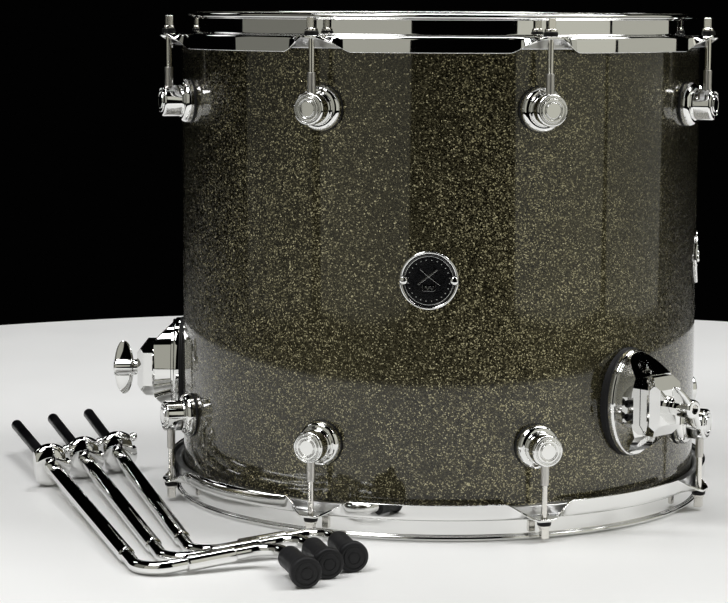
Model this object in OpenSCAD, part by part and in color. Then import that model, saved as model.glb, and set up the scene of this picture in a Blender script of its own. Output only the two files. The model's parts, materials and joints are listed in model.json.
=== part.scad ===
// Floor tom drum: wooden shell, two heads, two flanged hoops, sixteen tension rods,
// turret lugs, three leg brackets, and its three bent legs lying loose beside it.
// The origin is on the floor at the drum's axis, with +Z up and the badge towards -Y.
// A place on the drum is given by its angle from the badge, growing towards +X.

/* [Shell] */
// Outside diameter of the wooden shell
shell_d = 457.2; // [450:0.2:460]
// Depth of the wooden shell from edge to edge
shell_depth = 406.4; // [380:0.2:420]
// Thickness of the shell's wall
shell_wall = 7.5; // [6:0.5:9]

/* [Hoops] */
// How far a hoop's rim stands beyond the bearing edge
rim_stand = 9; // [7:0.5:11]
// Depth from the rim to the outer face of the ears
ear_depth = 17.4; // [15:0.1:19]
// Depth from the rim to the end of the skirt
skirt_depth = 31; // [28:0.5:34]
// Thickness of the hoop's steel
hoop_steel = 2.3; // [1.6:0.1:2.5]

/* [Lugs and rods] */
// Number of lugs at each end
lug_count = 8; // [8:8]
// Angle of the first lug from the badge
lug_start = 22.5; // [20:0.5:25]
// Depth from the rim to the lug's centre
lug_depth = 75.5; // [70:0.5:90]
// Diameter of the lug's base flange
lug_base_d = 37; // [34:0.5:40]
// Diameter of the lug's nose
lug_nose_d = 26.4; // [24:0.2:28]
// Distance of a tension rod's axis outside the shell
rod_offset = 18.9; // [18:0.1:20]
// Diameter of a tension rod
rod_d = 5; // [4.8:0.1:5.2]

/* [Badges] */
// Diameter of a badge
badge_d = 47.6; // [44:0.2:50]
// Angle of the second badge from the first
badge_turn = 86; // [80:1:90]

/* [Leg brackets] */
// Height of the brackets' centres above the floor
bracket_z = 105; // [100:1:110]
// How far a bracket sits past the middle of its lug gap
bracket_shift = 2.8; // [0:0.1:3]
// Height of a bracket's oval rubber gasket
gasket_d = 91.4; // [84:0.1:96]
// Diameter of the leg that the clamp takes
leg_d = 10.5; // [10:0.1:11]
// Distance of the leg's axis outside the shell
leg_offset = 20.5; // [20:0.1:22]

/* [Legs] */
// Length of the long straight from its end to the elbow's corner
leg_long = 530; // [500:5:560]
// Length between the two corners
leg_cross = 110.7; // [105:0.1:116]
// Length from the second corner to the foot's end
leg_foot = 80; // [76:0.5:84]
// Angle that the leg turns through at each bend
leg_turn = 95; // [92:0.5:98]
// Diameter of the thickened stretches
tube_d = 13.2; // [12.6:0.1:13.4]
// Distance from the leg's end to the middle of the memory lock
lock_place = 170; // [160:1:180]

/* [Hidden] */
$fn = 64;
shell_r = shell_d / 2;
height = shell_depth + 2 * rim_stand;
film = 0.25;
gap = 0.3;
fit = 0.05;
rod_r = rod_d / 2;
rod_circle = shell_r + rod_offset;
lug_z = height - lug_depth;
ear_in = ear_depth + hoop_steel;
lug_angles = [for (k = [0:lug_count - 1]) lug_start + k * 360 / lug_count];
bracket_angles = [45 + bracket_shift, 180 + bracket_shift, -90 + bracket_shift];
badge_angles = [0, badge_turn];
badge_z = height / 2;
badge_edge = 2.2;
rivet_turn = asin(badge_d * 0.426 / shell_r);
vent_angle = 135;
nut_turns = [38, 0, 0];

// Hoop section: radii of the wall and the skirt
rim_in = shell_r + 2.6;
wall_in = shell_r + 2;
wall_out = wall_in + hoop_steel;
skirt_out = shell_r + 12;
skirt_in = skirt_out - hoop_steel;
ear_reach = rod_circle + 6.5;
notch_half = 27;
ear_flat = 8;

// Lug: distances outside the shell
lug_seat = 1.2;
lug_step = 9.6;
lug_face = 26.8;
receiver_r = 3.5;
receiver_up = 28.8;
receiver_down = 8.8;

// Bracket: distances outside the shell
dish_seat = 3.2;
seam = 10.6;
body_end = 26.3;
nose_seat = 27;
nose_face = 42.1;
nose_side = -5.2;
nut_end = 63.7;
body_r = 43;
side_r = 64;
side_half = 28.8;
body_mid = -8.4;
dish_step = 1.6;
roof = 51;
bore_r = leg_d / 2 + fit;
leg_side = -12;
slot_side = -20.4;
jaw_half = 24;
roof_fill = 25.3;
window_seat = 17.3;
window_floor = -33.3;
stud_r = 4;
bolt_places = [[0, 30], [0, -30], [-16, 0]];

// Legs: the elbow's corner, the heading of the long straight and the rest angles
leg_corners = [[-210.7, -376.1], [-195.9, -342.6], [-178.1, -316.7]];
leg_headings = [-67.9, -69.4, -70.8];
leg_z = 4.58;
leg_pitch = 2.43;
leg_roll = 5.42;
bend_r = 22;
ring_gap = 48;
cross_ring = 36;
cross_ring_end = 76;
lock_r = 19.4;
lock_half = 9;
lock_x = lock_place - leg_long;
foot_len = 48;
foot_r = 12.2;
screw_rise = 12;

// ---- placing ----

// Turns +X to point outwards at an angle from the badge
module at_angle(angle) {
    rotate([0, 0, angle - 90])
        children();
}

// Stands on the shell's outside, +X outwards, +Y towards larger angles
module on_shell(angle, z) {
    at_angle(angle)
        translate([shell_r, 0, z])
            children();
}

// Puts something drawn upwards from a rim at the floor onto the upper rim
module upper() {
    translate([0, 0, height])
        mirror([0, 0, 1])
            children();
}

// A body turned about +X, from an outline of [radius, distance along X]
module turned_x(outline) {
    rotate([90, 0, 90])
        rotate_extrude()
            polygon(outline);
}

// A cylinder along +X
module rod_x(r, from, to) {
    translate([from, 0, 0])
        rotate([0, 90, 0])
            cylinder(r = r, h = to - from);
}

// ---- shell and heads ----

module shell_section() {
    low = rim_stand;
    high = height - rim_stand;
    inner = shell_r - shell_wall;
    polygon([
        [shell_r, low + 1.6], [shell_r - 0.5, low + 0.5], [shell_r - 1.6, low], [shell_r - 2.1, low],
        [inner, low + shell_wall - 2.1], [inner, high - shell_wall + 2.1],
        [shell_r - 2.1, high], [shell_r - 1.6, high], [shell_r - 0.5, high - 0.5], [shell_r, high - 1.6]
    ]);
}

module shell() {
    color([0.20, 0.18, 0.16])
    difference() {
        rotate_extrude($fn = 128)
            shell_section();
        for (a = lug_angles, z = [lug_depth, lug_z])
            on_shell(a, z)
                rod_x(3.2, -shell_wall - 5, 5);
        for (a = bracket_angles)
            on_shell(a, bracket_z)
                bracket_screw_places()
                    rod_x(3.2, -shell_wall - 5, 5);
        rivet_places()
            rod_x(1.6, -shell_wall - 5, 5);
        on_shell(vent_angle, badge_z)
            rod_x(6, -shell_wall - 5, 5);
    }
}

// The head's film, drawn on the lower rim
module head_film(depth) {
    translate([0, 0, depth])
        cylinder(r = shell_r + 0.7, h = film, $fn = 128);
}

// The collar and the aluminium flesh hoop of a head, drawn on the lower rim
module flesh_hoop(film_end, top) {
    rotate_extrude($fn = 128)
        polygon([
            [shell_r + 0.4, film_end], [shell_r + 1, film_end], [shell_r + 1, top],
            [shell_r + 7.6, top], [shell_r + 7.9, top + 0.6], [shell_r + 7.9, 27.4],
            [shell_r + 7.3, 28], [shell_r + 0.4, 28]
        ]);
}

module resonant_head() {
    color([0.80, 0.81, 0.80])
        head_film(rim_stand - gap - film);
}

module resonant_flesh_hoop() {
    color("silver")
        flesh_hoop(rim_stand - gap, ear_in);
}

module batter_head() {
    color([0.90, 0.90, 0.88])
        upper()
            head_film(rim_stand - film);
}

module batter_flesh_hoop() {
    color("silver")
        upper()
            flesh_hoop(rim_stand, ear_in + gap);
}

// ---- hoops ----

// Depth of the skirt's edge at a distance along the rim from a lug
function notch_edge(t) =
    let (s = min(1, max(0, (abs(t) - ear_flat) / (notch_half - ear_flat))))
    ear_in + (skirt_depth + 1 - ear_in) * s * s * (3 - 2 * s);

module hoop_section() {
    polygon([
        [rim_in, 0], [rim_in + 3.6, 0], [rim_in + 5, 0.9], [rim_in + 5.2, 2.4],
        [rim_in + 4.2, 3.7], [wall_out, 4.4], [wall_out, ear_depth - 1.4], [wall_out + 1.4, ear_depth],
        [skirt_out - 3.4, ear_depth], [skirt_out - 1, ear_depth + 1], [skirt_out, ear_depth + 3.4],
        [skirt_out, skirt_depth], [skirt_in, skirt_depth], [skirt_in, ear_in],
        [wall_in, ear_in], [wall_in, rim_stand - 0.6], [rim_in, rim_stand - 0.6]
    ]);
}

// One ear: a flat plate that carries a tension rod, a hair thinner than the flange it grows from
module ear() {
    translate([0, 0, ear_depth + fit])
        linear_extrude(hoop_steel - 2 * fit)
            difference() {
                polygon([
                    [shell_r + 7, -18], [skirt_out - 2, -18], [ear_reach - 3, -ear_flat],
                    [ear_reach - 1, -6], [ear_reach, -3], [ear_reach, 3], [ear_reach - 1, 6],
                    [ear_reach - 3, ear_flat], [skirt_out - 2, 18], [shell_r + 7, 18]
                ]);
                translate([rod_circle, 0])
                    circle(r = rod_r + 0.5, $fn = 32);
            }
}

// A triple-flanged hoop, drawn upwards from its rim on the floor
module hoop() {
    difference() {
        rotate_extrude($fn = 128)
            hoop_section();
        for (a = lug_angles)
            at_angle(a)
                translate([skirt_in - 2.2, 0, 0])
                    rotate([90, 0, 90])
                        linear_extrude(12)
                            polygon(concat(
                                [for (i = [-12:12]) [i * notch_half / 12, notch_edge(i * notch_half / 12)]],
                                [[notch_half, skirt_depth + 4], [-notch_half, skirt_depth + 4]]
                            ));
    }
    for (a = lug_angles)
        at_angle(a)
            ear();
}

module resonant_hoop() {
    color("gainsboro")
        hoop();
}

module batter_hoop() {
    color("gainsboro")
        upper()
            hoop();
}

// ---- tension rods ----

washer_top = ear_depth - 3.5;

// A black washer on its ear
module washer() {
    translate([rod_circle, 0, washer_top])
        difference() {
            cylinder(r = 6, h = 3.5, $fn = 32);
            translate([0, 0, -1])
                cylinder(r = rod_r + 0.3, h = 6, $fn = 32);
        }
}

// A square-headed tension rod, drawn upwards from the rim's plane
module tension_rod() {
    seat = washer_top - fit;
    translate([rod_circle, 0, 0]) {
        translate([-3.175, -3.175, 3])
            cube([6.35, 6.35, seat - 5.4]);
        translate([0, 0, seat - 2.4])
            cylinder(r = 5.3, h = 2.4, $fn = 32);
        translate([0, 0, seat - 0.2])
            cylinder(r = rod_r, h = lug_depth + 6 - seat, $fn = 32);
    }
}

module resonant_washers() {
    color([0.08, 0.08, 0.08])
        for (a = lug_angles)
            at_angle(a)
                washer();
}

module batter_washers() {
    color([0.08, 0.08, 0.08])
        upper()
            for (a = lug_angles)
                at_angle(a)
                    washer();
}

module batter_rod(k) {
    color("lightgray")
        upper()
            at_angle(lug_angles[k - 1])
                tension_rod();
}

module resonant_rod(k) {
    color("lightgray")
        at_angle(lug_angles[k - 1])
            tension_rod();
}

// ---- lugs ----

// A turret lug's housing, +X outwards, with its mouth towards +Z
module lug() {
    base_r = lug_base_d / 2;
    nose_r = lug_nose_d / 2;
    difference() {
        turned_x([
            [0, lug_seat], [base_r, lug_seat], [base_r, 4.6], [base_r - 0.5, 6.4], [base_r - 1.7, 8],
            [base_r - 3.4, 9], [nose_r + 0.7, lug_step], [nose_r, lug_step + 0.8],
            [nose_r, lug_face - 2.6], [nose_r - 0.7, lug_face - 1.4], [nose_r - 1.8, lug_face - 1],
            [nose_r - 2.6, lug_face - 1], [nose_r - 2.8, lug_face - 1.8], [nose_r - 3.4, lug_face - 1.8],
            [nose_r - 3.7, lug_face - 0.3], [nose_r - 5.8, lug_face - 0.3], [nose_r - 6.1, lug_face - 1],
            [nose_r - 6.7, lug_face - 1], [nose_r - 7, lug_face], [0, lug_face]
        ]);
        translate([rod_offset, 0, -receiver_down])
            cylinder(r = receiver_r + fit, h = 40, $fn = 32);
        rod_x(3, -1, 8);
    }
}

// The swivel nut and its tube, which the rod screws into
module receiver() {
    translate([rod_offset, 0, -receiver_down])
        difference() {
            cylinder(r = receiver_r, h = receiver_up + receiver_down, $fn = 32);
            translate([0, 0, -1])
                cylinder(r = rod_r + fit, h = 60, $fn = 32);
        }
}

module batter_lugs() {
    color("lightgray")
        for (a = lug_angles)
            on_shell(a, lug_z)
                lug();
}

module resonant_lugs() {
    color("lightgray")
        for (a = lug_angles)
            on_shell(a, lug_depth)
                mirror([0, 0, 1])
                    lug();
}

module batter_receivers() {
    color("silver")
        for (a = lug_angles)
            on_shell(a, lug_z)
                receiver();
}

module resonant_receivers() {
    color("silver")
        for (a = lug_angles)
            on_shell(a, lug_depth)
                mirror([0, 0, 1])
                    receiver();
}

// Thin rubber seat under each lug, cut to the shell's curve
module lug_gaskets() {
    color([0.1, 0.1, 0.1])
        difference() {
            for (a = lug_angles, z = [lug_depth, lug_z])
                on_shell(a, z)
                    difference() {
                        rod_x(lug_base_d / 2 + 0.4, -1.5, lug_seat);
                        rod_x(3.2, -4, 4);
                    }
            cylinder(r = shell_r, h = height, $fn = 1440);
        }
}

// The room inside the shell, which shapes what is seated on its curved inner face
module shell_room() {
    cylinder(r = shell_r - shell_wall, h = height, $fn = 1440);
}

// Screw that holds a lug from inside the shell, with its curved washer
module lug_screws() {
    places = [for (a = lug_angles, z = [lug_depth, lug_z]) [a, z]];
    color("gray") {
        for (p = places)
            on_shell(p[0], p[1])
                rod_x(2.95, -shell_wall - 3, 7.8);
        intersection() {
            for (p = places)
                on_shell(p[0], p[1])
                    rotate([0, 0, 180])
                        turned_x([
                            [0, shell_wall - 0.5], [9, shell_wall - 0.5], [9, shell_wall + 1.4],
                            [5, shell_wall + 1.4], [4.6, shell_wall + 4], [3, shell_wall + 4.8],
                            [0, shell_wall + 4.8]
                        ]);
            shell_room();
        }
    }
}

// ---- badges and vent ----

// What lies between two distances outside the shell, within a circle around +X
module badge_layer(r, from, to) {
    intersection() {
        rod_x(r, -12, 12);
        translate([-shell_r, 0, -40])
            difference() {
                cylinder(r = shell_r + to, h = 80, $fn = 128);
                translate([0, 0, -1])
                    cylinder(r = shell_r + from, h = 82, $fn = 128);
            }
    }
}

// Two rivets at the left and right of each badge
module rivet_places() {
    for (a = badge_angles, side = [-1, 1])
        on_shell(a + side * rivet_turn, badge_z)
            children();
}

module badge_plates() {
    color([0.05, 0.05, 0.05])
        difference() {
            for (a = badge_angles)
                on_shell(a, badge_z)
                    badge_layer(badge_d / 2 - badge_edge, 0, 1.5);
            rivet_places()
                rod_x(1.6, -12, 12);
        }
}

module badge_rims() {
    color("silver")
        difference() {
            for (a = badge_angles)
                on_shell(a, badge_z)
                    difference() {
                        badge_layer(badge_d / 2, 0, 2);
                        rod_x(badge_d / 2 - badge_edge, -12, 12);
                    }
            rivet_places()
                rod_x(1.6, -12, 12);
        }
}

module badge_rivets() {
    color("silver")
        rivet_places()
            turned_x([
                [0, -shell_wall - 1], [1.55, -shell_wall - 1], [1.55, 2.05], [3.6, 2.05],
                [3.2, 3.1], [2.2, 3.8], [0, 4.1]
            ]);
}

module vent_grommet() {
    color("silver")
        on_shell(vent_angle, badge_z)
            rotate([90, 0, 90])
                rotate_extrude()
                    polygon([
                        [4, -shell_wall - 2], [5.95, -shell_wall - 2], [5.95, 0.2], [9, 0.3], [9, 1],
                        [7.6, 2], [5.4, 2.2], [4, 1.2]
                    ]);
}

// ---- leg brackets ----

// Three screw places around a bracket's centre
// An upright oval about +X: flat arcs at its two sides and round arcs at its ends, grown by an edge
module oval(edge, from, to) {
    middle = side_r - side_half;
    translate([0, body_mid, 0])
        intersection() {
            rod_x(body_r + edge, from, to);
            translate([0, middle, 0])
                rod_x(side_r + edge, from, to);
            translate([0, -middle, 0])
                rod_x(side_r + edge, from, to);
        }
}

module bracket_screw_places() {
    for (p = bolt_places)
        translate([0, body_mid + p[0], p[1]])
            children();
}

module bracket_gaskets() {
    color([0.06, 0.06, 0.06])
        difference() {
            for (a = bracket_angles)
                on_shell(a, bracket_z)
                    difference() {
                        union() {
                            oval(gasket_d / 2 - body_r, -7, dish_seat - 1.2);
                            oval(gasket_d / 2 - body_r - 0.6, dish_seat - 1.3, dish_seat);
                        }
                        bracket_screw_places()
                            rod_x(3.2, -12, 12);
                    }
            cylinder(r = shell_r, h = height, $fn = 1440);
        }
}

// The oval body that the base and the gate share, between two distances. Two slopes cut its
// upper and lower sides, and roof is the sum of distance and height along a slope.
module bracket_body(from, to) {
    intersection() {
        oval(0, from, to);
        translate([0, 60, 0])
            rotate([90, 0, 0])
                linear_extrude(120)
                    polygon([
                        [from - 1, from - 1 - roof], [to + 1, to + 1 - roof],
                        [to + 1, roof - to - 1], [from - 1, roof - from + 1]
                    ]);
    }
}

// The leg's channel through a bracket
module leg_channel() {
    translate([leg_offset, leg_side, -50])
        cylinder(r = bore_r, h = 100);
}

// The fixed half of a bracket: dish, side block with its two set screws, and fixed jaw
module bracket_base() {
    difference() {
        union() {
            oval(dish_step, dish_seat, 8.4);
            oval(0, 8.3, seam);
            intersection() {
                bracket_body(seam - 0.1, body_end);
                union() {
                    translate([0, -60, -50])
                        cube([40, 60 + slot_side, 100]);
                    for (z = [roof_fill, -roof_fill - 20])
                        translate([0, slot_side - 1, z])
                            cube([40, 16.9, 20]);
                }
            }
            translate([seam - 0.1, slot_side + 0.3, -jaw_half])
                cube([leg_offset - 0.3 - seam + 0.1, 15.6, 2 * jaw_half]);
        }
        leg_channel();
        rod_x(stud_r, 5, 20);
        bracket_screw_places()
            rod_x(3, 0, 9);
        translate([window_seat, window_floor - 20, -13])
            cube([30, 20, 22]);
    }
    for (z = [-7.6, 3.6])
        translate([window_seat + 4.5, window_floor + 0.5, z])
            rotate([90, 0, 0])
                difference() {
                    cylinder(r = 3.2, h = 3.4);
                    translate([0, 0, 1.8])
                        cylinder(r = 1.6, h = 4, $fn = 6);
                }
}

module bracket_bases() {
    color("lightgray")
        for (a = bracket_angles)
            on_shell(a, bracket_z)
                bracket_base();
}

module bracket_studs() {
    color("gray")
        for (a = bracket_angles)
            on_shell(a, bracket_z)
                rod_x(stud_r, 5, 61);
}

// Bolts that hold a bracket from inside the shell, with their curved washers
module bracket_screws() {
    color("gray") {
        for (a = bracket_angles)
            on_shell(a, bracket_z)
                bracket_screw_places()
                    rod_x(2.95, -shell_wall - 5, 8.5);
        intersection() {
            for (a = bracket_angles)
                on_shell(a, bracket_z)
                    bracket_screw_places()
                        rotate([0, 0, 180])
                            turned_x([
                                [0, shell_wall - 0.5], [8, shell_wall - 0.5], [8, shell_wall + 4.2],
                                [5.4, shell_wall + 4.2], [5.4, shell_wall + 8], [0, shell_wall + 8]
                            ]);
            shell_room();
        }
    }
}

// The faceted nose block of a gate
module gate_nose() {
    half = 24.5;
    side = 19.5;
    start = nose_seat - 0.3;
    translate([0, nose_side, 0])
        intersection() {
            translate([0, side, 0])
                rotate([90, 0, 0])
                    linear_extrude(2 * side)
                        polygon([
                            [start, -half], [34.4, -half], [nose_face, -14.7], [nose_face, 14.7],
                            [34.4, half], [start, half]
                        ]);
            rotate([90, 0, 90])
                linear_extrude(60)
                    polygon([
                        [-side, -15], [-12, -half], [12, -half], [side, -15],
                        [side, 15], [12, half], [-12, half], [-side, 15]
                    ]);
            translate([0, 0, -half])
                linear_extrude(2 * half)
                    polygon([
                        [start, -side], [36, -side], [nose_face, -13],
                        [nose_face, 13], [36, side], [start, side]
                    ]);
        }
}

// The moving half of a bracket, which the wing nut presses against the leg
module bracket_gate(k) {
    color("lightgray")
        on_shell(bracket_angles[k - 1], bracket_z)
            difference() {
                union() {
                    difference() {
                        union() {
                            bracket_body(seam + 0.4, body_end);
                            rod_x(roof - body_end - 0.2, body_end - 0.1, nose_seat);
                        }
                        translate([0, -60, -50])
                            cube([40, 60 + slot_side + 0.4, 100]);
                        translate([0, slot_side - 1, -50])
                            cube([leg_offset + 0.3, 17.2, 100]);
                        for (z = [jaw_half, -jaw_half - 20])
                            translate([0, slot_side - 1, z])
                                cube([40, 17.2, 20]);
                    }
                    gate_nose();
                }
                leg_channel();
                rod_x(stud_r + 0.4, 0, 60);
            }
}

// Outline of a wing nut's blades, an upright oval
module wing_outline(half_width, half_span) {
    polygon([for (i = [0:47]) [half_width * cos(i * 7.5), half_span * sin(i * 7.5)]]);
}

module wing_nut(k) {
    middle = (nut_end + nose_face + 3.9) / 2;
    color("lightgray")
        on_shell(bracket_angles[k - 1], bracket_z)
            rotate([nut_turns[k - 1], 0, 0])
                difference() {
                    union() {
                        turned_x([
                            [0, nose_face + fit], [7, nose_face + fit], [7, nose_face + 3.9], [7.8, nose_face + 5.4],
                            [7.8, nut_end - 2], [6.6, nut_end], [0, nut_end]
                        ]);
                        translate([middle, 2.5, 0])
                            rotate([90, 0, 0])
                                linear_extrude(5)
                                    wing_outline((nut_end - nose_face - 3.9) / 2, 24.4);
                    }
                    rod_x(stud_r + fit, 0, 80);
                }
}

// ---- legs ----

// Lays something drawn at the elbow's corner in the leg's place on the floor.
// The long straight runs back along -X, and the leg bends towards +Y.
module lay_leg(k) {
    translate([leg_corners[k - 1][0], leg_corners[k - 1][1], leg_z])
        rotate([0, 0, leg_headings[k - 1]])
            rotate([leg_roll, leg_pitch, 0])
                children();
}

tangent = bend_r * tan(leg_turn / 2);
rod_end = leg_foot - 6;

// Moves on to the second corner, with +X along the last straight
module at_second_corner() {
    translate([leg_cross * cos(leg_turn), leg_cross * sin(leg_turn), 0])
        children();
}

// A bend that starts at the origin along +X and turns towards +Y
module bend(r) {
    translate([0, bend_r, 0])
        rotate([0, 0, -90])
            rotate_extrude(angle = leg_turn)
                translate([bend_r, 0])
                    circle(r = r, $fn = 48);
}

// A thickened stretch with rounded shoulders
module thick_x(from, to) {
    r = tube_d / 2;
    turned_x([
        [0, from], [r - 1.4, from], [r - 0.4, from + 0.5], [r, from + 1.5],
        [r, to - 1.5], [r - 0.4, to - 0.5], [r - 1.4, to], [0, to]
    ]);
}

// A straight stretch of the leg between two bends, with a hair-thin sleeve at each joined end
module straight(from, to, join_start, join_end) {
    r = leg_d / 2;
    short = 0.1;
    over = 0.3;
    first = join_start ? from + short : from;
    last = join_end ? to - short : to;
    rod_x(r, first, last);
    if (join_start)
        rod_x(r + 0.03, from - over, from + 2 * over);
    if (join_end)
        rod_x(r + 0.03, to - 2 * over, to + over);
}

module leg_rod(k) {
    color("lightgray")
        lay_leg(k) {
            straight(-leg_long, -tangent, false, true);
            thick_x(lock_x + lock_half + 3, -ring_gap);
            translate([-tangent, 0, 0])
                bend(leg_d / 2);
            rotate([0, 0, leg_turn]) {
                straight(tangent, leg_cross - tangent, true, true);
                thick_x(cross_ring, cross_ring_end);
            }
            at_second_corner() {
                straight(tangent, rod_end, true, false);
                translate([tangent, 0, 0])
                    rotate([0, 0, 180])
                        bend(leg_d / 2);
            }
        }
}

module rubber_foot(k) {
    start = leg_foot - foot_len;
    color([0.07, 0.07, 0.07])
        lay_leg(k)
            at_second_corner()
                difference() {
                    turned_x([
                        [0, start], [8.4, start], [9.2, start + 1], [9.2, start + 26], [9.4, start + 34],
                        [10.6, leg_foot - 8.4], [foot_r, leg_foot - 7], [foot_r, leg_foot - 2.4],
                        [foot_r - 0.8, leg_foot - 1], [foot_r - 3, leg_foot - 0.3], [0, leg_foot]
                    ]);
                    rod_x(leg_d / 2, start - 1, rod_end);
                }
}

// A split clamp that marks how deep the leg goes into its bracket
module memory_lock(k) {
    color("lightgray")
        lay_leg(k)
            translate([lock_x, 0, 0])
                difference() {
                    intersection() {
                        rod_x(lock_r, -lock_half, lock_half);
                        translate([-20, -13.5, -30])
                            cube([40, 31, 60]);
                    }
                    rod_x(leg_d / 2 + fit, -20, 20);
                    translate([-20, 2.2, 2])
                        cube([40, 1.6, 40]);
                    translate([-20, 13.3, 2.6])
                        cube([40, 10, 40]);
                    translate([0, -9, screw_rise])
                        rotate([-90, 0, 0])
                            cylinder(r = 2.6, h = 40, $fn = 32);
                }
}

// The memory lock's wing screw
module lock_screw(k) {
    color("lightgray")
        lay_leg(k)
            translate([lock_x, 0, screw_rise])
                rotate([-90, 0, 0]) {
                    translate([0, 0, -8.5])
                        cylinder(r = 2.55, h = 24, $fn = 32);
                    translate([0, 0, 13.6])
                        cylinder(r = 4, h = 5.9, $fn = 32);
                    translate([0, 0, 14.2])
                        linear_extrude(3.6)
                            wing_outline(8.4, 3.2);
                }
}

resonant_hoop();
resonant_flesh_hoop();
resonant_head();
resonant_washers();
shell();
batter_flesh_hoop();
batter_head();
batter_lugs();
resonant_lugs();
lug_gaskets();
batter_receivers();
resonant_receivers();
lug_screws();
badge_plates();
badge_rims();
badge_rivets();
vent_grommet();
bracket_gaskets();
bracket_bases();
bracket_studs();
bracket_screws();
batter_hoop();
batter_washers();
for (k = [1:lug_count]) {
    batter_rod(k);
    resonant_rod(k);
}
for (k = [1:3]) {
    bracket_gate(k);
    wing_nut(k);
    leg_rod(k);
    rubber_foot(k);
    memory_lock(k);
    lock_screw(k);
}
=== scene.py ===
"""Looks of the floor tom drum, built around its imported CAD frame. Shapes are drawn in millimetres."""

import json
import math

import bmesh
import bpy
from mathutils import Matrix, Vector


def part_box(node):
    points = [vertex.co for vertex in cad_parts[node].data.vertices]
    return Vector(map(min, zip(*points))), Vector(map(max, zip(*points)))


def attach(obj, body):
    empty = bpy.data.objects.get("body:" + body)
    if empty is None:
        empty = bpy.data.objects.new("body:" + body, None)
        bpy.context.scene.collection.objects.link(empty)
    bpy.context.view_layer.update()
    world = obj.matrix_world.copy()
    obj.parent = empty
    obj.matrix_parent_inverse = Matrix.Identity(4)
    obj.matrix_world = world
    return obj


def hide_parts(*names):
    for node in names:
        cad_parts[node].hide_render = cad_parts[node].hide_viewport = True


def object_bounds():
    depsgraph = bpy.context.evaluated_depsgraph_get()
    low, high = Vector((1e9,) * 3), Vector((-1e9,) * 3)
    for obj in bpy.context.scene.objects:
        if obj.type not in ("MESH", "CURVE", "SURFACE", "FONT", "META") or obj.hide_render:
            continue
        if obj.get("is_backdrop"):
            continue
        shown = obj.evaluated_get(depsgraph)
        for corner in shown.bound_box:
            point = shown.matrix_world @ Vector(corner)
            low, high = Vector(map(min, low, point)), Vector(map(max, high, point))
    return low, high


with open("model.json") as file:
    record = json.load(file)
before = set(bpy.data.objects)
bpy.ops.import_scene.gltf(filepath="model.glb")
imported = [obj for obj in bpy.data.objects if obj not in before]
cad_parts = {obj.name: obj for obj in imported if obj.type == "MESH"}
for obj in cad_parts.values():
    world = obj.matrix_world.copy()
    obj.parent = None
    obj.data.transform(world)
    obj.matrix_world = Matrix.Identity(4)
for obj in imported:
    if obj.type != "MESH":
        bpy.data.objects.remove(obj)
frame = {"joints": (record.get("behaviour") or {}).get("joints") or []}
cad_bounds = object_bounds()

MM = 0.001
JOINTS = {j["name"]: j for j in frame["joints"]}
SHELL_BODY = "shell_unit"
LOWER_BODY = "resonant_hoop_unit"
UPPER_BODY = "batter_hoop_unit"


# ---- places, read from the frame except the badge and vent angles ----

def mm(vector):
    return Vector(vector) / MM


def shift(x, y, z):
    return Matrix.Translation((x, y, z))


def spin(degrees, axis):
    return Matrix.Rotation(math.radians(degrees), 4, axis)


def turn_z(degrees):
    return spin(degrees, "Z")


def angle_of(point):
    """Angle from the badge, growing towards +X, as the CAD counts it."""
    return math.degrees(math.atan2(point[0], -point[1]))


SHELL_R = mm(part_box("shell")[1]).x
HEIGHT = mm(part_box("batter_hoop")[1]).z
LUG_LOW = sum(mm(corner).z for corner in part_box("resonant_lugs")) / 2
LUG_HIGH = HEIGHT - LUG_LOW
BADGE_Z = HEIGHT / 2
BRACKET_Z = sum(mm(corner).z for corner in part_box("bracket_gaskets")) / 2
LUG_COUNT = 8
LUG_ANGLES = [angle_of(JOINTS[f"batter_rod_{k + 1}_turn"]["pos_m"]) for k in range(LUG_COUNT)]
BRACKET_ANGLES = [angle_of(JOINTS[f"bracket_gate_{k + 1}_slide"]["axis"]) for k in range(3)]
BADGE_ANGLES = [0, 86]
VENT_ANGLE = 135
FLIP_Z = Matrix.Diagonal((1, 1, -1, 1))
X_TO_Z = spin(-90, "Y")
ROD_OFFSET = mm(JOINTS["batter_rod_1_turn"]["pos_m"]).xy.length - SHELL_R


def on_shell(angle, z):
    """Stands on the shell's outside: +X outwards, +Y towards larger angles, +Z up."""
    return turn_z(angle - 90) @ shift(SHELL_R, 0, z)


def upside_down():
    """Takes what is drawn upwards from the lower rim to the upper rim."""
    return shift(0, 0, HEIGHT) @ FLIP_Z


# ---- geometry ----

CREASE = 32


class Part:
    """Points in millimetres and faces, each with a material number."""

    def __init__(self, points=(), faces=(), material=0):
        self.points = [Vector(p) for p in points]
        self.faces = [tuple(f) for f in faces]
        self.materials = [material] * len(self.faces)

    def moved(self, place):
        return self.bent(lambda p: place @ p)

    def bent(self, rule):
        part = Part([rule(p) for p in self.points], self.faces)
        part.materials = list(self.materials)
        return part

    def painted(self, material):
        return Part(self.points, self.faces, material)

    def __add__(self, other):
        return joined([self, other])


def joined(parts):
    whole = Part()
    for part in parts:
        start = len(whole.points)
        whole.points += part.points
        whole.faces += [tuple(i + start for i in f) for f in part.faces]
        whole.materials += part.materials
    return whole


def everywhere(part, places):
    return joined([part.moved(place) for place in places])


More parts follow.
